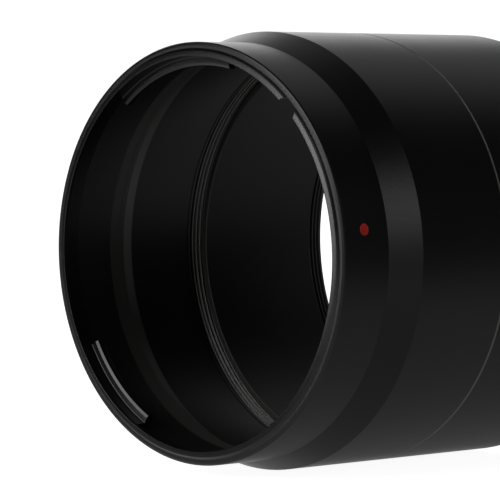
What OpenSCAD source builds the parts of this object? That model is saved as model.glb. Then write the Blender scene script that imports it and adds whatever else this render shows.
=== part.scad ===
// Two-part bayonet adapter tube for lenses and filters.
// The optical axis runs along +Y, +Z is up, and the origin is the centre of
// the bayonet's front face. The bayonet end is at y = 0 and the filter
// thread is at the far end. Azimuths are measured about +Y, from +X to +Z.

/* [Barrel] */
// Outside diameter of the barrel
barrel_d = 64; // [56:0.5:72]
// Length of the whole tube
total_l = 56.5; // [48:0.5:70]
// Distance from the bayonet face to the seam between the two tubes
seam_y = 31.5; // [28:0.1:36]
// Small bevel on each side of the seam
seam_bevel = 0.12; // [0.05:0.01:0.3]

/* [Collar] */
// Outside diameter of the collar behind the bayonet
collar_d = 60.7; // [56:0.1:63]
// Distance from the bayonet face to the end of the collar
collar_end = 9.1; // [6:0.1:12]
// Distance from the bayonet face to the end of the flare
flare_end = 14.3; // [11:0.1:18]
// Diameter of the flat at the collar's front edge
ledge_d = 60.4; // [58:0.1:60.6]
// Distance that the bayonet ring's lip stands proud of the collar
lip_h = 0.4; // [0.2:0.05:1]

/* [Bayonet] */
// Inside diameter of the bayonet's mouth
mouth_d = 56.6; // [54:0.1:58]
// Outside diameter of the lip's flat face
lip_d = 58.2; // [57:0.1:59]
// Outside diameter of the bayonet ring
ring_d = 58.9; // [58.4:0.1:59.6]
// Thickness of the bayonet ring along the axis
ring_t = 3.3; // [2.5:0.1:5]
// Diameter inside the lugs
lug_d = 54; // [50:0.1:56]
// Depth of the lugs' front faces below the bayonet face
lug_depth = 2.1; // [1.5:0.05:3]
// Bevel on the lugs' inner front edge
lug_bevel = 0.35; // [0.1:0.05:0.6]
// Fillet leg in the corner between the mouth and each lug
lug_corner = 0.22; // [0.1:0.02:0.4]
// Radius of the wall between the lugs, in front of them
gap_front_r = 28.75; // [28.5:0.05:29]
// Radius of the wall between the lugs, level with them
gap_rear_r = 28.9; // [28.5:0.05:29.1]
// Depth of the plain mouth before the wall steps out between the lugs
mouth_l = 0.5; // [0.3:0.05:1]
// Fall of the lip's face and of the collar's front edge, inside to outside
face_fall = 0.1; // [0:0.01:0.2]
// Azimuth of the lock-pin slot
slot_az = 47.3; // [0:0.1:90]
// Width of the lock-pin slot
slot_w = 3.8; // [2:0.1:6]
// Distance from the axis to the slot's rounded outer end
slot_r = 29.85; // [29:0.05:30.5]

/* [Bores] */
// Bore diameter behind the bayonet ring
throat_d = 58; // [56:0.1:59]
// Distance from the bayonet face to the start of the inner flare
inner_flare_start = 10; // [8:0.1:14]
// Distance from the bayonet face to the end of the inner flare
inner_flare_end = 15.2; // [12:0.1:20]
// Bore diameter of the rear tube past the inner flare
rear_bore_d = 60.8; // [58:0.1:61]
// Bore diameter of the front tube
front_bore_d = 58.6; // [56:0.1:60]

/* [Threads] */
// Pitch of both threads
pitch = 0.75; // [0.5:0.05:1]
// Diameter over the female thread's crests
crest_d = 61.2; // [60:0.05:62]
// Diameter at the female thread's roots
root_d = 62; // [61:0.05:63]
// Width of the flat on each crest
crest_flat = 0.16; // [0.1:0.01:0.3]
// Number of crests in the rear tube's thread
joint_turns = 4; // [3:1:8]
// Plain length at the mouth of the rear tube's thread
joint_relief = 0.63; // [0.3:0.01:1.5]
// Number of crests in the filter thread
filter_turns = 5; // [3:1:8]
// Length of the front tube's male spigot
spigot_l = 1.7; // [1.2:0.1:4]
// Radial clearance between the spigot and the female crests
thread_gap = 0.05; // [0.02:0.01:0.1]

/* [Index dot] */
// Diameter of the enamelled pocket
dot_d = 1.8; // [1:0.05:3]
// Distance from the bayonet face to the dot
dot_y = 4.6; // [2:0.1:7]
// Azimuth of the dot
dot_az = 8.1; // [-45:0.5:90]
// Depth of the pocket
dot_depth = 0.35; // [0.2:0.05:0.6]

/* [Hidden] */
$fn = 180;

black = [0.045, 0.047, 0.05];
ring_black = [0.06, 0.062, 0.065];
red = [0.55, 0.07, 0.06];

barrel_r = barrel_d / 2;
collar_r = collar_d / 2;
ledge_r = ledge_d / 2;
ring_r = ring_d / 2;
mouth_r = mouth_d / 2;
lip_r = lip_d / 2;
lug_r = lug_d / 2;
throat_r = throat_d / 2;
rear_bore_r = rear_bore_d / 2;
front_bore_r = front_bore_d / 2;
crest_r = crest_d / 2;
root_r = root_d / 2;
spigot_r = crest_r - thread_gap;
spigot_root_r = spigot_r - 0.3;
spigot_tip_r = spigot_r - 0.4;
edge_round = collar_r - ledge_r;
joint_start = seam_y - joint_turns * pitch - joint_relief;
filter_start = total_l - filter_turns * pitch - 0.3;
mouth_bevel = root_r - crest_r;
flank = (pitch - crest_flat) / 2 - 0.04;

// Each gap between two lugs: azimuth of its first edge, then of its last edge.
gaps = [[4, 78.5], [128, 210.5], [243.5, 318]];

// Turns a profile drawn as [radius, distance along the axis] about +Y.
module turned(points) {
    rotate([-90, 0, 0]) rotate_extrude() polygon(points);
}

// Places its children at an azimuth about the tube's axis, facing outward.
module at_azimuth(angle) {
    rotate([0, -angle, 0]) children();
}

// Points down a female thread: crests at crest_r, roots at root_r.
function female_thread(start, turns) = [
    for (i = [0 : turns - 1])
        let (y = start + i * pitch)
        each [
            [root_r, y],
            [crest_r, y + flank],
            [crest_r, y + flank + crest_flat],
            [root_r, y + 2 * flank + crest_flat]
        ]
];

// Points up the spigot's male thread, from the seam towards its tip.
male_thread = [
    for (i = [0 : floor(spigot_l / pitch) - 1])
        let (y = seam_y - 0.25 - i * pitch)
        each [
            [spigot_root_r, y],
            [spigot_r, y - flank],
            [spigot_r, y - flank - crest_flat],
            [spigot_root_r, y - 2 * flank - crest_flat]
        ]
];

// Bayonet ring: a lip, three lugs behind it, and the lock-pin slot.
module bayonet_ring() {
    lip_bevel = 0.08;
    color(ring_black)
    difference() {
        turned([
            [mouth_r, lip_bevel], [mouth_r + lip_bevel, 0],
            [lip_r, face_fall], [ring_r, lip_h], [ring_r, ring_t],
            [lug_r, ring_t], [lug_r, lug_depth + lug_bevel],
            [lug_r + lug_bevel, lug_depth], [mouth_r - lug_corner, lug_depth],
            [mouth_r, lug_depth - lug_corner]
        ]);
        for (span = gaps)
            lug_gap(span[0], span[1]);
        at_azimuth(slot_az)
            translate([lug_r, 0, 0])
                lock_slot();
    }
}

// Cutter for one gap: it leaves the lugs standing and steps the wall out.
module lug_gap(first, last) {
    inner = lug_r - 3;
    rotate([0, -last, 0])
        rotate([-90, 0, 0])
            rotate_extrude(angle = last - first)
                polygon([
                    [inner, mouth_l], [gap_front_r, mouth_l],
                    [gap_front_r, lug_depth], [gap_rear_r, lug_depth],
                    [gap_rear_r, ring_t + 1], [inner, ring_t + 1]
                ]);
}

// Cutter for the lock-pin slot: a round-ended slot through the lip.
module lock_slot() {
    reach = slot_r - slot_w / 2 - lug_r;
    rotate([90, 0, 0])
        translate([0, 0, -lug_depth])
            linear_extrude(lug_depth + 1)
                union() {
                    translate([-2, -slot_w / 2])
                        square([reach + 2, slot_w]);
                    translate([reach, 0]) circle(d = slot_w);
                }
}

// Collar, flare and barrel in one turning, with the female joint thread.
module rear_tube() {
    color(black)
    difference() {
        turned(concat(
            [
                [throat_r, inner_flare_start], [throat_r, ring_t],
                [ring_r, ring_t], [ring_r, lip_h],
                [ledge_r, lip_h + face_fall],
                [collar_r, lip_h + face_fall + edge_round * 1.6],
                [collar_r, collar_end], [barrel_r, flare_end],
                [barrel_r, seam_y - seam_bevel],
                [barrel_r - seam_bevel, seam_y], [root_r, seam_y]
            ],
            [for (i = [len(rear_thread) - 1 : -1 : 0]) rear_thread[i]],
            [[rear_bore_r, joint_start], [rear_bore_r, inner_flare_end]]
        ));
        dot_pocket();
    }
}
rear_thread = female_thread(joint_start, joint_turns);

// The cylindrical pocket that holds the enamel, drilled square to the collar.
module dot_pocket() {
    at_azimuth(dot_az)
        translate([collar_r - dot_depth, dot_y, 0])
            rotate([0, 90, 0])
                cylinder(d = dot_d, h = dot_depth + 1, $fn = 48);
}

// Red enamel that fills the pocket, just below the collar's surface.
module index_dot() {
    sunk = 0.06;
    color(red)
    at_azimuth(dot_az)
        translate([collar_r - dot_depth, dot_y, 0])
            rotate([0, 90, 0])
                cylinder(d = dot_d, h = dot_depth - sunk, $fn = 48);
}

// Spigot, barrel and filter thread in one turning.
module front_tube() {
    tip_y = seam_y - spigot_l;
    color(black)
    turned(concat(
        [
            [front_bore_r, filter_start - 0.2], [front_bore_r, tip_y],
            [spigot_tip_r, tip_y]
        ],
        [for (i = [len(male_thread) - 1 : -1 : 0]) male_thread[i]],
        [
            [spigot_root_r, seam_y], [barrel_r - seam_bevel, seam_y],
            [barrel_r, seam_y + seam_bevel], [barrel_r, total_l - 0.3],
            [barrel_r - 0.3, total_l], [crest_r + mouth_bevel, total_l]
        ],
        [for (i = [len(filter_thread) - 1 : -1 : 0]) filter_thread[i]],
        [[root_r, filter_start - 0.2]]
    ));
}
filter_thread = female_thread(filter_start, filter_turns);

bayonet_ring();
rear_tube();
index_dot();
front_tube();
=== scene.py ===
import math

import bmesh
import bpy
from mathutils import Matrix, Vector


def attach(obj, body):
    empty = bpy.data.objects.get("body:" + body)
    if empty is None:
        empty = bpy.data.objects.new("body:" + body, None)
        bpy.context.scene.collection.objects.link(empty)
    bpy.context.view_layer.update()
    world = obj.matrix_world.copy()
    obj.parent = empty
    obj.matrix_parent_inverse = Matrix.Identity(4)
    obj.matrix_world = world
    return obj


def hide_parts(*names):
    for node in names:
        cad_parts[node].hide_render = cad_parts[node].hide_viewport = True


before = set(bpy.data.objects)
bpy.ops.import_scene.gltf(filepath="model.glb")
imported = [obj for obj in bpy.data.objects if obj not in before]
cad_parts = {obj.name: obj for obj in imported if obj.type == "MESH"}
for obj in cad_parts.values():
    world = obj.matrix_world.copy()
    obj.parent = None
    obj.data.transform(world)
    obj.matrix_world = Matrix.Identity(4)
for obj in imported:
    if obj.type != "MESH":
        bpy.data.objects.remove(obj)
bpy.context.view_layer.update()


# ---------------------------------------------------------------- camera
# A long lens stands well to the side of the optical axis, looking at the
# bayonet end from a little above, so that the far end runs out of view.
lens = bpy.data.cameras.new("long_lens")
lens.sensor_width = 36.0
lens.lens = 238.2
lens.clip_start = 0.01
lens.clip_end = 20.0
camera = bpy.data.objects.new("camera", lens)
camera.location = (0.34868, -0.31927, 0.02242)
line_of_sight = Vector((-0.7248, 0.6874, -0.0461))
camera.rotation_euler = line_of_sight.to_track_quat("-Z", "Y").to_euler()
bpy.context.scene.collection.objects.link(camera)
bpy.context.scene.camera = camera
bpy.context.scene.view_settings.view_transform = "Standard"


# ---------------------------------------------------------------- studio
# The tube lies on a pale table in front of a white sweep, in a dim room.
# Soft boxes above the camera and lamps to its left and right pick out the
# edges, and the table's near edge lights the undersides.
def wire(tree, source, target):
    tree.links.new(source, target)


def plain_node(tree, kind, **settings):
    made = tree.nodes.new(kind)
    for name, value in settings.items():
        setattr(made, name, value)
    return made


def sum_of(tree, sockets):
    total = sockets[0]
    for extra in sockets[1:]:
        adder = plain_node(tree, "ShaderNodeMath", operation="ADD")
        wire(tree, total, adder.inputs[0])
        wire(tree, extra, adder.inputs[1])
        total = adder.outputs[0]
    return total


def soft_box(tree, toward, half_angle, edge, brightness):
    """A round patch of light in one direction, with a soft edge (degrees)."""
    direction = tree.nodes["Direction"].outputs["Generated"]
    facing = plain_node(tree, "ShaderNodeVectorMath", operation="DOT_PRODUCT")
    facing.inputs[1].default_value = Vector(toward).normalized()
    wire(tree, direction, facing.inputs[0])
    patch = plain_node(tree, "ShaderNodeMapRange",
                       interpolation_type="SMOOTHSTEP")
    patch.inputs["From Min"].default_value = math.cos(
        math.radians(half_angle + edge))
    patch.inputs["From Max"].default_value = math.cos(
        math.radians(half_angle))
    patch.inputs["To Max"].default_value = brightness
    wire(tree, facing.outputs["Value"], patch.inputs["Value"])
    return patch.outputs["Result"]


studio = bpy.data.worlds.new("studio")
studio.use_nodes = True
sky = studio.node_tree
sky.nodes.clear()
plain_node(sky, "ShaderNodeTexCoord", name="Direction")
# Each light: the direction it stands in, the half angle of its bright part,
# the width of its soft edge (degrees), and its brightness.
LIGHTS = [
    # a pair of soft boxes above the camera, left and right
    ((-0.30, -0.76, 0.56), 4, 17, 3.2),
    ((0.06, -0.90, 0.42), 4, 17, 3.2),
    # a small bright lamp to the left of the camera
    ((-0.56, -0.83, 0.07), 3, 7, 6.0),
    # the sweep's bright left end, level with the tube, and its foot
    ((-0.82, 0.57, 0.10), 2, 28, 1.75),
    ((-0.85, 0.00, -0.50), 12, 30, 0.45),
    # the sweep above and behind, and straight behind
    ((-0.42, 0.73, 0.52), 8, 30, 0.27),
    ((0.20, 0.97, -0.08), 8, 17, 0.16),
    # the lamp on the right that reads on the outer flare, and its stand
    ((0.90, 0.14, 0.35), 5, 14, 1.3),
    ((0.99, 0.00, -0.14), 8, 15, 0.20),
    # the near edge of the table
    ((0.10, -0.62, -0.78), 18, 36, 0.22),
    ((0.50, -0.85, -0.22), 2, 26, 0.35),
]
ROOM_GLOW, TABLE_GLOW = 0.006, 0.21
TABLE_STARTS, TABLE_FULL = -0.04, -0.34
SWEEP_WHITE = 1.05
patches = [soft_box(sky, *light) for light in LIGHTS]
# the pale table, from just below level down, over a dim room
height = plain_node(sky, "ShaderNodeSeparateXYZ")
wire(sky, sky.nodes["Direction"].outputs["Generated"], height.inputs[0])
table = plain_node(sky, "ShaderNodeMapRange",
                   interpolation_type="SMOOTHSTEP")
table.inputs["From Min"].default_value = TABLE_STARTS
table.inputs["From Max"].default_value = TABLE_FULL
table.inputs["To Min"].default_value = ROOM_GLOW
table.inputs["To Max"].default_value = TABLE_GLOW
wire(sky, height.outputs["Z"], table.inputs["Value"])
patches.append(table.outputs["Result"])
room = plain_node(sky, "ShaderNodeBackground")
room.inputs["Color"].default_value = (1, 1, 1, 1)
wire(sky, sum_of(sky, patches), room.inputs["Strength"])
sweep = plain_node(sky, "ShaderNodeBackground")
sweep.inputs["Color"].default_value = (1, 1, 1, 1)
sweep.inputs["Strength"].default_value = SWEEP_WHITE
# the camera sees the white sweep itself, and the tube reflects the room
path = plain_node(sky, "ShaderNodeLightPath")
seen = plain_node(sky, "ShaderNodeMixShader")
wire(sky, path.outputs["Is Camera Ray"], seen.inputs[0])
wire(sky, room.outputs[0], seen.inputs[1])
wire(sky, sweep.outputs[0], seen.inputs[2])
world_out = plain_node(sky, "ShaderNodeOutputWorld")
wire(sky, seen.outputs[0], world_out.inputs["Surface"])
bpy.context.scene.world = studio

# The pale floor that the tube lies on, lit evenly enough to leave only a
# faint shadow along the line where the barrel touches it.
FLOOR_Z = -0.03202
FLOOR_HALF = 1.6
FLOOR_GLOW = 0.93
floor_mesh = bpy.data.meshes.new("floor")
floor_mesh.from_pydata(
    [(-FLOOR_HALF, -FLOOR_HALF, FLOOR_Z), (FLOOR_HALF, -FLOOR_HALF, FLOOR_Z),
     (FLOOR_HALF, FLOOR_HALF, FLOOR_Z), (-FLOOR_HALF, FLOOR_HALF, FLOOR_Z)],
    [], [(0, 1, 2, 3)])
floor = bpy.data.objects.new("floor", floor_mesh)
bpy.context.scene.collection.objects.link(floor)
floor.visible_glossy = False
floor.visible_diffuse = False
paper = bpy.data.materials.new("pale_floor")
paper.use_nodes = True
tree = paper.node_tree
tree.nodes.clear()
matt = plain_node(tree, "ShaderNodeBsdfDiffuse")
matt.inputs["Color"].default_value = (0.8, 0.8, 0.8, 1)
glow = plain_node(tree, "ShaderNodeEmission")
glow.inputs["Strength"].default_value = FLOOR_GLOW
both = plain_node(tree, "ShaderNodeAddShader")
wire(tree, matt.outputs[0], both.inputs[0])
wire(tree, glow.outputs[0], both.inputs[1])
out = plain_node(tree, "ShaderNodeOutputMaterial")
wire(tree, both.outputs[0], out.inputs["Surface"])
floor_mesh.materials.append(paper)


# ---------------------------------------------------------- bayonet ring
# A thin aluminium ring, turned and milled, anodised black and set in the
# collar's mouth. Its lip stands proud; three lugs and a slot for the lock
# pin are cut in it, and the lugs' faces keep the cutter's fine lines.
MM = 0.001
AROUND = 384
GAP_COLUMNS = 80
SLOT_COLUMNS = 32


def eased(corners, steps=4):
    """A closed outline of (radius, y, fillet) corners, in millimetres."""
    outline = []
    count = len(corners)
    for i, (r, y, fillet) in enumerate(corners):
        here = Vector((r, y))
        if fillet == 0:
            outline.append(here)
            continue
        before = Vector(corners[i - 1][:2]) - here
        after = Vector(corners[(i + 1) % count][:2]) - here
        turn = before.angle(after)
        leg = min(fillet / math.tan(turn / 2),
                  before.length * 0.49, after.length * 0.49)
        start = here + before.normalized() * leg
        end = here + after.normalized() * leg
        for k in range(steps + 1):
            t = k / steps
            outline.append(start.lerp(here, t).lerp(here.lerp(end, t), t))
    return [(p.x, p.y) for p in outline]


def place(azimuth, r, y):
    angle = math.radians(azimuth)
    return (r * MM * math.cos(angle), y * MM, r * MM * math.sin(angle))


def turned(name, outline_at, first=0.0, last=360.0, columns=AROUND):
    """Sweep a section about the axis; outline_at(azimuth) gives it there."""
    full = last - first >= 360.0
    azimuths = [first + (last - first) * i / columns
                for i in range(columns if full else columns + 1)]
    work = bmesh.new()
    rings = [[work.verts.new(place(a, r, y)) for r, y in outline_at(a)]
             for a in azimuths]
    pairs = list(zip(rings, rings[1:] + rings[:1] if full else rings[1:]))
    for this, following in pairs:
        for j in range(len(this)):
            work.faces.new((this[j - 1], this[j],
                            following[j], following[j - 1]))
    if not full:
        work.faces.new(rings[0])
        work.faces.new(rings[-1][::-1])
    bmesh.ops.recalc_face_normals(work, faces=work.faces)
    return finished(name, work)


def finished(name, work):
    mesh = bpy.data.meshes.new(name)
    work.to_mesh(mesh)
    work.free()
    piece = bpy.data.objects.new(name, mesh)
    bpy.context.scene.collection.objects.link(piece)
    return piece


def cut(piece, cutters):
    """Machine the cutters' shapes out of a piece, and clear them away."""
    for cutter in cutters:
        step = piece.modifiers.new("cut", "BOOLEAN")
        step.operation = "DIFFERENCE"
        step.solver = "EXACT"
        step.object = cutter
        depsgraph = bpy.context.evaluated_depsgraph_get()
        result = bpy.data.meshes.new_from_object(
            piece.evaluated_get(depsgraph))
        piece.modifiers.clear()
        piece.data = result
        result.name = piece.name
        bpy.data.objects.remove(cutter)


def crisp(piece, angle=32, weld=2e-7):
    """Smooth shading that breaks at edges sharper than the angle."""
    work = bmesh.new()
    work.from_mesh(piece.data)
    bmesh.ops.remove_doubles(work, verts=work.verts, dist=weld)
    for face in work.faces:
        face.smooth = True
    for edge in work.edges:
        edge.smooth = edge.calc_face_angle(0) < math.radians(angle)
    work.to_mesh(piece.data)
    work.free()
    weight = piece.modifiers.new("even_shading", "WEIGHTED_NORMAL")
    weight.keep_sharp = True


def prism(name, plan, y_near, y_far):
    """A straight cutter along the axis, from a plan of (x, z) points."""
    work = bmesh.new()
    near = [work.verts.new((x * MM, y_near * MM, z * MM)) for x, z in plan]
    far = [work.verts.new((x * MM, y_far * MM, z * MM)) for x, z in plan]
    for j in range(len(plan)):
        work.faces.new((near[j - 1], near[j], far[j], far[j - 1]))
    work.faces.new(near[::-1])
    work.faces.new(far)
    bmesh.ops.recalc_face_normals(work, faces=work.faces)
    return finished(name, work)


# The ring's section, the azimuths of the gaps between its lugs, and the
# section that is milled away in each gap.
RING_OUTLINE = [
    (28.30, 0.00, 0.07), (29.10, 0.10, 0.06), (29.45, 0.40, 0.03),
    (29.45, 3.30, 0.00), (27.00, 3.30, 0.10), (27.00, 2.32, 0.05),
    (27.38, 2.10, 0.05), (28.30, 2.10, 0.20),
]
GAPS = [(4.0, 78.5), (128.0, 210.5), (243.5, 318.0)]
GAP_OUTLINE = [
    (24.0, 0.50, 0), (28.75, 0.50, 0), (28.75, 2.10, 0),
    (28.90, 2.10, 0), (28.90, 4.30, 0), (24.0, 4.30, 0),
]
SLOT_AZIMUTH, SLOT_WIDTH, SLOT_REACH, SLOT_DEPTH = 47.3, 3.8, 29.85, 2.1
SLOT_INNER_END, SLOT_CUT_FROM = 25.0, -0.5

ring_outline = eased(RING_OUTLINE)
bayonet = turned("bayonet_ring_turned", lambda a: ring_outline)
gap_outline = eased(GAP_OUTLINE)
cutters = [
    turned("gap_cutter", lambda a: gap_outline, first, last, GAP_COLUMNS)
    for first, last in GAPS]
# the slot runs outward and ends in a half circle, as a milling cutter leaves
slot_plan = [(SLOT_INNER_END, SLOT_WIDTH / 2),
             (SLOT_INNER_END, -SLOT_WIDTH / 2)]
slot_centre = SLOT_REACH - SLOT_WIDTH / 2
for step in range(SLOT_COLUMNS + 1):
    around = math.radians(-90 + 180 * step / SLOT_COLUMNS)
    slot_plan.append((slot_centre + SLOT_WIDTH / 2 * math.cos(around),
                      SLOT_WIDTH / 2 * math.sin(around)))
swing = math.radians(SLOT_AZIMUTH)
slot_plan = [(x * math.cos(swing) - z * math.sin(swing),
              x * math.sin(swing) + z * math.cos(swing))
             for x, z in slot_plan]
cutters.append(prism("slot_cutter", slot_plan, SLOT_CUT_FROM, SLOT_DEPTH))
cut(bayonet, cutters)
crisp(bayonet)


def band(tree, value, start, end, soft):
    """1 where start < value < end (millimetres), with soft edges."""
    sides = []
    for edge, way in ((start, 1), (end, -1)):
        side = plain_node(tree, "ShaderNodeMapRange")
        side.inputs["From Min"].default_value = (edge - way * soft) * MM
        side.inputs["From Max"].default_value = (edge + way * soft) * MM
        wire(tree, value, side.inputs["Value"])
        sides.append(side.outputs["Result"])
    both = plain_node(tree, "ShaderNodeMath", operation="MULTIPLY")
    wire(tree, sides[0], both.inputs[0])
    wire(tree, sides[1], both.inputs[1])
    return both.outputs[0]


def blended(tree, factor, low, high):
    """A value that runs from low to high as the factor runs from 0 to 1."""
    mix = plain_node(tree, "ShaderNodeMapRange")
    mix.inputs["To Min"].default_value = low
    mix.inputs["To Max"].default_value = high
    wire(tree, factor, mix.inputs["Value"])
    return mix.outputs["Result"]


# the grey that the listed bands mix towards: bare aluminium where rubbed,
# painted highlight elsewhere
WEAR_AND_HIGHLIGHT_GREY = (0.42, 0.41, 0.38, 1)
COLOUR_SPREAD = 0.2
GRAIN_SCALE, TOOL_LINE_SCALE, DRIFT_SCALE = 3600, 7000, 90
GRAIN_DEPTH = 0.014
GRAIN_GLOSS, DRIFT_GLOSS = 0.035, 0.03
WEAR_AND_HIGHLIGHT_EDGE, WALL_EDGE = 0.02, 0.08
FLARE_STARTS, FLARE_ENDS = 9.0, 15.0
# wall_r for a ring that is tooled on every face
ALL_TOOLED = (40.0, 40.0)


def tooled_black(name, colour, roughness, inside_roughness, wall_r,
                 wear_and_highlights=(), line_depth=0.006):
    """Black anodising: blasted grain outside, a turner's lines inside.

    wall_r is a radius within the wall at the collar, then at the barrel:
    what lies nearer the axis than that is the inside of the tube. The
    last list gives bands (radius from, to, y from, to, amount) where the
    black is mixed back towards bare aluminium grey: wear where screwing on
    and off rubs the threads, and painted highlights on crests, edges and
    the inner flare.
    """
    made = bpy.data.materials.new(name)
    made.use_nodes = True
    tree = made.node_tree
    tree.nodes.clear()
    skin = plain_node(tree, "ShaderNodeBsdfPrincipled")
    skin.inputs["IOR"].default_value = 1.5
    out = plain_node(tree, "ShaderNodeOutputMaterial")
    wire(tree, skin.outputs[0], out.inputs["Surface"])
    on_piece = plain_node(tree, "ShaderNodeTexCoord")
    apart = plain_node(tree, "ShaderNodeSeparateXYZ")
    wire(tree, on_piece.outputs["Object"], apart.inputs[0])
    squares = []
    for axis in ("X", "Z"):
        square = plain_node(tree, "ShaderNodeMath", operation="MULTIPLY")
        wire(tree, apart.outputs[axis], square.inputs[0])
        wire(tree, apart.outputs[axis], square.inputs[1])
        squares.append(square.outputs[0])
    radius = plain_node(tree, "ShaderNodeMath", operation="SQRT")
    wire(tree, sum_of(tree, squares), radius.inputs[0])
    # the blasted grain, and tool lines that only change along the axis
    grain = plain_node(tree, "ShaderNodeTexNoise")
    grain.inputs["Scale"].default_value = GRAIN_SCALE
    grain.inputs["Detail"].default_value = 3
    grain.inputs["Roughness"].default_value = 0.6
    wire(tree, on_piece.outputs["Object"], grain.inputs["Vector"])
    lines = plain_node(tree, "ShaderNodeTexNoise", noise_dimensions="1D")
    lines.inputs["Scale"].default_value = TOOL_LINE_SCALE
    lines.inputs["Detail"].default_value = 2
    along = sum_of(tree, [apart.outputs["Y"], radius.outputs[0]])
    wire(tree, along, lines.inputs["W"])
    drift = plain_node(tree, "ShaderNodeTexNoise")
    drift.inputs["Scale"].default_value = DRIFT_SCALE
    drift.inputs["Detail"].default_value = 4
    wire(tree, on_piece.outputs["Object"], drift.inputs["Vector"])
    # 0 further out than wall_r and 1 nearer the axis, along the flares too
    wall = plain_node(tree, "ShaderNodeMapRange")
    wall.inputs["From Min"].default_value = FLARE_STARTS * MM
    wall.inputs["From Max"].default_value = FLARE_ENDS * MM
    wall.inputs["To Min"].default_value = wall_r[0] * MM
    wall.inputs["To Max"].default_value = wall_r[1] * MM
    wire(tree, apart.outputs["Y"], wall.inputs["Value"])
    depth = plain_node(tree, "ShaderNodeMath", operation="SUBTRACT")
    wire(tree, wall.outputs["Result"], depth.inputs[0])
    wire(tree, radius.outputs[0], depth.inputs[1])
    inside = plain_node(tree, "ShaderNodeMapRange")
    inside.inputs["From Min"].default_value = 0.0
    inside.inputs["From Max"].default_value = WALL_EDGE * MM
    wire(tree, depth.outputs[0], inside.inputs["Value"])
    inside = inside.outputs["Result"]
    # colour: black, a little uneven, lighter in the listed bands, which are
    # partly wear and partly painted highlight
    black = plain_node(tree, "ShaderNodeMix", data_type="RGBA")
    darker, lighter = 1 - COLOUR_SPREAD, 1 + COLOUR_SPREAD
    black.inputs["A"].default_value = (*(c * darker for c in colour), 1)
    black.inputs["B"].default_value = (*(c * lighter for c in colour), 1)
    wire(tree, drift.outputs["Fac"], black.inputs["Factor"])
    shade = black.outputs["Result"]
    wear_and_highlight_masks = []
    for r_from, r_to, y_from, y_to, amount in wear_and_highlights:
        ring = band(tree, radius.outputs[0], r_from, r_to, WEAR_AND_HIGHLIGHT_EDGE)
        stretch = band(tree, apart.outputs["Y"], y_from, y_to, WEAR_AND_HIGHLIGHT_EDGE)
        spot = plain_node(tree, "ShaderNodeMath", operation="MULTIPLY")
        wire(tree, ring, spot.inputs[0])
        wire(tree, stretch, spot.inputs[1])
        wear_and_highlight_masks.append(blended(tree, spot.outputs[0], 0.0, amount))
    if wear_and_highlight_masks:
        wear_and_highlight_mix = plain_node(tree, "ShaderNodeMix", data_type="RGBA")
        wear_and_highlight_mix.inputs["B"].default_value = WEAR_AND_HIGHLIGHT_GREY
        wire(tree, sum_of(tree, wear_and_highlight_masks), wear_and_highlight_mix.inputs["Factor"])
        wire(tree, shade, wear_and_highlight_mix.inputs["A"])
        shade = wear_and_highlight_mix.outputs["Result"]
    wire(tree, shade, skin.inputs["Base Color"])
    # roughness: its own level inside and outside, with grain and drift
    level = blended(tree, inside, roughness, inside_roughness)
    uneven = sum_of(tree, [
        level,
        blended(tree, grain.outputs["Fac"], -GRAIN_GLOSS, GRAIN_GLOSS),
        blended(tree, drift.outputs["Fac"], -DRIFT_GLOSS, DRIFT_GLOSS)])
    wire(tree, uneven, skin.inputs["Roughness"])
    # relief: grain outside, tool lines inside
    pits = plain_node(tree, "ShaderNodeBump")
    pits.inputs["Distance"].default_value = GRAIN_DEPTH * MM
    wire(tree, blended(tree, inside, 1.0, 0.3), pits.inputs["Strength"])
    wire(tree, grain.outputs["Fac"], pits.inputs["Height"])
    tooling = plain_node(tree, "ShaderNodeBump")
    tooling.inputs["Distance"].default_value = line_depth * MM
    wire(tree, blended(tree, inside, 0.0, 0.8), tooling.inputs["Strength"])
    wire(tree, lines.outputs["Fac"], tooling.inputs["Height"])
    wire(tree, pits.outputs[0], tooling.inputs["Normal"])
    wire(tree, tooling.outputs[0], skin.inputs["Normal"])
    return made


bayonet.data.materials.clear()
bayonet.data.materials.append(tooled_black(
    "milled_black", (0.006, 0.0062, 0.0065), 0.24, 0.24, ALL_TOOLED,
    line_depth=0.008))
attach(bayonet, "rear")
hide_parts("bayonet_ring")


# ------------------------------------------------------------- rear tube
# The camera half: one aluminium turning with collar, outer flare, barrel,
# inner flare and a fine female thread at its far end. It is blasted and
# anodised outside and left with its turned lines inside.
PITCH = 0.75
ROWS_PER_PITCH = 24
THREAD_ROOT_R, THREAD_CREST_R = 31.0, 30.6
THREAD_RUNOUT = 0.12
BARREL_R = 32.0
SEAM_Y = 31.5
BLASTED_BLACK = (0.0056, 0.0057, 0.0060)
REAR_WALL = (29.3, 31.2)


def tooth(turns):
    """Height of a thread's rounded crest, 0 to 1, along its helix."""
    return 0.5 + 0.5 * math.cos(2 * math.pi * turns)


def thread_rows(start, end, root, crest, first_crest, azimuth):
    """Points along a helical thread, fading in and out at its ends."""
    count = round((end - start) / PITCH * ROWS_PER_PITCH)
    helix = (azimuth - 180.0) / 360.0
    rows = []
    for i in range(count + 1):
        y = start + (end - start) * i / count
        fade = max(0.0, min(1.0, (y - start) / THREAD_RUNOUT,
                            (end - y) / THREAD_RUNOUT))
        height = tooth((y - first_crest) / PITCH - helix) * fade
        rows.append((root + (crest - root) * height, y))
    return rows


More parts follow.
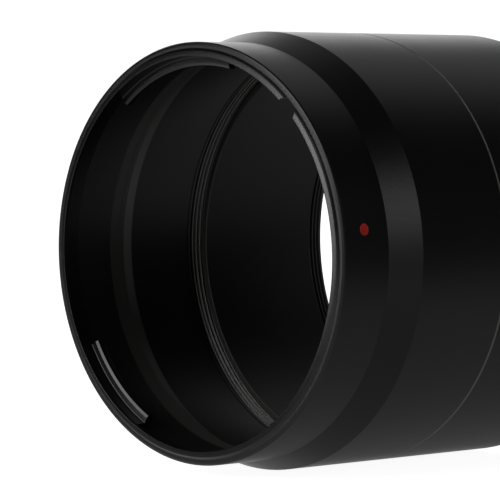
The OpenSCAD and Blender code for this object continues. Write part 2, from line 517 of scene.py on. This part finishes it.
def rear_outline(azimuth):
    """Collar, outer flare, barrel, joint thread and inner flare, in turn."""
    outside = eased([
        (29.00, 3.30, 0), (29.45, 3.30, 0), (29.45, 0.40, 0.02),
        (29.88, 0.43, 0.25), (30.20, 0.54, 0.05), (30.35, 0.74, 0.06),
        (30.35, 9.10, 0.35), (BARREL_R, 14.30, 0.35),
        (BARREL_R, SEAM_Y - 0.15, 0.06), (BARREL_R - 0.15, SEAM_Y, 0.03),
        (THREAD_ROOT_R, SEAM_Y, 0)])
    thread = thread_rows(27.87, SEAM_Y - 0.06, THREAD_ROOT_R, THREAD_CREST_R,
                         28.2, azimuth)
    inside = eased([
        (30.40, 27.87, 0.04), (30.40, 15.20, 0.35), (29.00, 10.00, 0.25)])
    return outside + thread[::-1] + inside


rear = turned("rear_tube_turned", rear_outline)

# The pocket for the index dot is end-milled square to the collar, and its
# edge is broken with a small chamfer.
DOT_AZIMUTH, DOT_Y, DOT_R = 8.1, 4.6, 0.86
POCKET_FLOOR, POCKET_EDGE, POCKET_CHAMFER = 30.0, 30.30, 0.06
POCKET_CUT_FROM = 31.5


def at_dot(out, across, along):
    """A point by its distances out from the axis, up the collar, and along."""
    angle = math.radians(DOT_AZIMUTH)
    x = out * math.cos(angle) - across * math.sin(angle)
    z = out * math.sin(angle) + across * math.cos(angle)
    return (x * MM, (DOT_Y + along) * MM, z * MM)


def round_stack(name, levels, sides=48):
    """Circles of (radius, distance from the axis) on the dot's centre line."""
    work = bmesh.new()
    rings = [[work.verts.new(at_dot(
        out, r * math.cos(2 * math.pi * k / sides),
        r * math.sin(2 * math.pi * k / sides))) for k in range(sides)]
        for r, out in levels]
    for this, following in zip(rings, rings[1:]):
        for k in range(sides):
            work.faces.new((this[k - 1], this[k],
                            following[k], following[k - 1]))
    work.faces.new(rings[0])
    work.faces.new(rings[-1][::-1])
    bmesh.ops.recalc_face_normals(work, faces=work.faces)
    return finished(name, work)


cut(rear, [round_stack("pocket_cutter", [
    (DOT_R, POCKET_FLOOR), (DOT_R, POCKET_EDGE),
    (DOT_R + POCKET_CHAMFER, POCKET_EDGE + POCKET_CHAMFER),
    (DOT_R + POCKET_CHAMFER, POCKET_CUT_FROM)])])
crisp(rear)
rear.data.materials.clear()
# thread crests mixed towards bare grey: rubbed by screwing, partly a painted
# highlight; a faint painted sheen on the inner flare
rear.data.materials.append(tooled_black(
    "blasted_black_rear", BLASTED_BLACK, 0.34, 0.36, REAR_WALL,
    wear_and_highlights=[(30.50, 30.64, 28.0, 31.4, 0.75),
            (28.90, 30.50, 9.9, 15.4, 0.09)]))
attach(rear, "rear")
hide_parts("rear_tube")


# ------------------------------------------------------------- index dot
# Red enamel run into the pocket. It shrank as it dried, which left a
# slightly dished face with a thin rolled rim.
ENAMEL_STACK = [
    (0.79, 30.00), (0.845, 30.03), (0.848, 30.27), (0.83, 30.295),
    (0.79, 30.305), (0.70, 30.29), (0.53, 30.27), (0.31, 30.26),
    (0.12, 30.257),
]
DARK_RED = (0.42, 0.012, 0.010, 1)
BRIGHT_RED = (0.85, 0.040, 0.026, 1)
dot = round_stack("index_dot_enamel", ENAMEL_STACK)
crisp(dot, angle=50)
enamel = bpy.data.materials.new("red_enamel")
enamel.use_nodes = True
tree = enamel.node_tree
paint = tree.nodes["Principled BSDF"]
paint.inputs["Roughness"].default_value = 0.38
paint.inputs["Coat Weight"].default_value = 0.25
paint.inputs["Coat Roughness"].default_value = 0.2
spots = plain_node(tree, "ShaderNodeTexNoise")
spots.inputs["Scale"].default_value = 2600
spots.inputs["Detail"].default_value = 4
where = plain_node(tree, "ShaderNodeTexCoord")
wire(tree, where.outputs["Object"], spots.inputs["Vector"])
shades = plain_node(tree, "ShaderNodeValToRGB")
shades.color_ramp.elements[0].position = 0.35
shades.color_ramp.elements[0].color = DARK_RED
shades.color_ramp.elements[1].position = 0.70
shades.color_ramp.elements[1].color = BRIGHT_RED
wire(tree, spots.outputs["Fac"], shades.inputs["Fac"])
wire(tree, shades.outputs["Color"], paint.inputs["Base Color"])
ripple = plain_node(tree, "ShaderNodeBump")
ripple.inputs["Distance"].default_value = 0.03 * MM
ripple.inputs["Strength"].default_value = 0.6
wire(tree, spots.outputs["Fac"], ripple.inputs["Height"])
wire(tree, ripple.outputs[0], paint.inputs["Normal"])
dot.data.materials.append(enamel)
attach(dot, "rear")
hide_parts("index_dot")


# ------------------------------------------------------------ front tube
# The lens half: a second aluminium turning, blasted and anodised black. Its
# short threaded spigot screws into the rear tube, and its far mouth carries
# the fine female filter thread.
SPIGOT_ROOT_R, SPIGOT_CREST_R = 30.25, 30.55
SPIGOT_END, FAR_END = 29.8, 56.5
FRONT_BORE_R = 29.3
SEAM_BEVEL, FAR_BEVEL = 0.22, 0.30
FRONT_WALL = (31.2, 31.2)


def front_outline(azimuth):
    """Spigot, barrel, filter thread and bore, in turn."""
    spigot = thread_rows(SPIGOT_END + 0.08, SEAM_Y - 0.02, SPIGOT_ROOT_R,
                         SPIGOT_CREST_R, 30.2, azimuth)
    outside = eased([
        (BARREL_R - SEAM_BEVEL, SEAM_Y, 0.03),
        (BARREL_R, SEAM_Y + SEAM_BEVEL, 0.06),
        (BARREL_R, FAR_END - FAR_BEVEL, 0.10),
        (BARREL_R - FAR_BEVEL, FAR_END, 0.06),
        (THREAD_ROOT_R + 0.02, FAR_END, 0.02)])
    mouth = thread_rows(52.45, FAR_END - 0.10, THREAD_ROOT_R, THREAD_CREST_R,
                        52.8, azimuth)
    inside = [(THREAD_ROOT_R, 52.25), (FRONT_BORE_R, 52.25),
              (FRONT_BORE_R, SPIGOT_END + 0.12),
              (FRONT_BORE_R + 0.12, SPIGOT_END),
              (SPIGOT_ROOT_R - 0.12, SPIGOT_END)]
    return spigot + outside + mouth[::-1] + inside


front = turned("front_tube_turned", front_outline)
crisp(front)
# crests of the spigot and filter threads mixed towards bare grey: rubbed by
# screwing, partly a painted highlight; painted highlights on the spigot's tip
# and the seam bevel
front.data.materials.append(tooled_black(
    "blasted_black_front", BLASTED_BLACK, 0.34, 0.48, FRONT_WALL,
    wear_and_highlights=[(30.45, 30.70, 29.9, 31.4, 0.30),
            (29.20, 30.30, 29.5, 29.9, 0.07),
            (30.50, 30.66, 52.5, 56.2, 0.28),
            (31.76, 32.10, 31.48, 31.74, 0.34)]))
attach(front, "front")
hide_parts("front_tube")
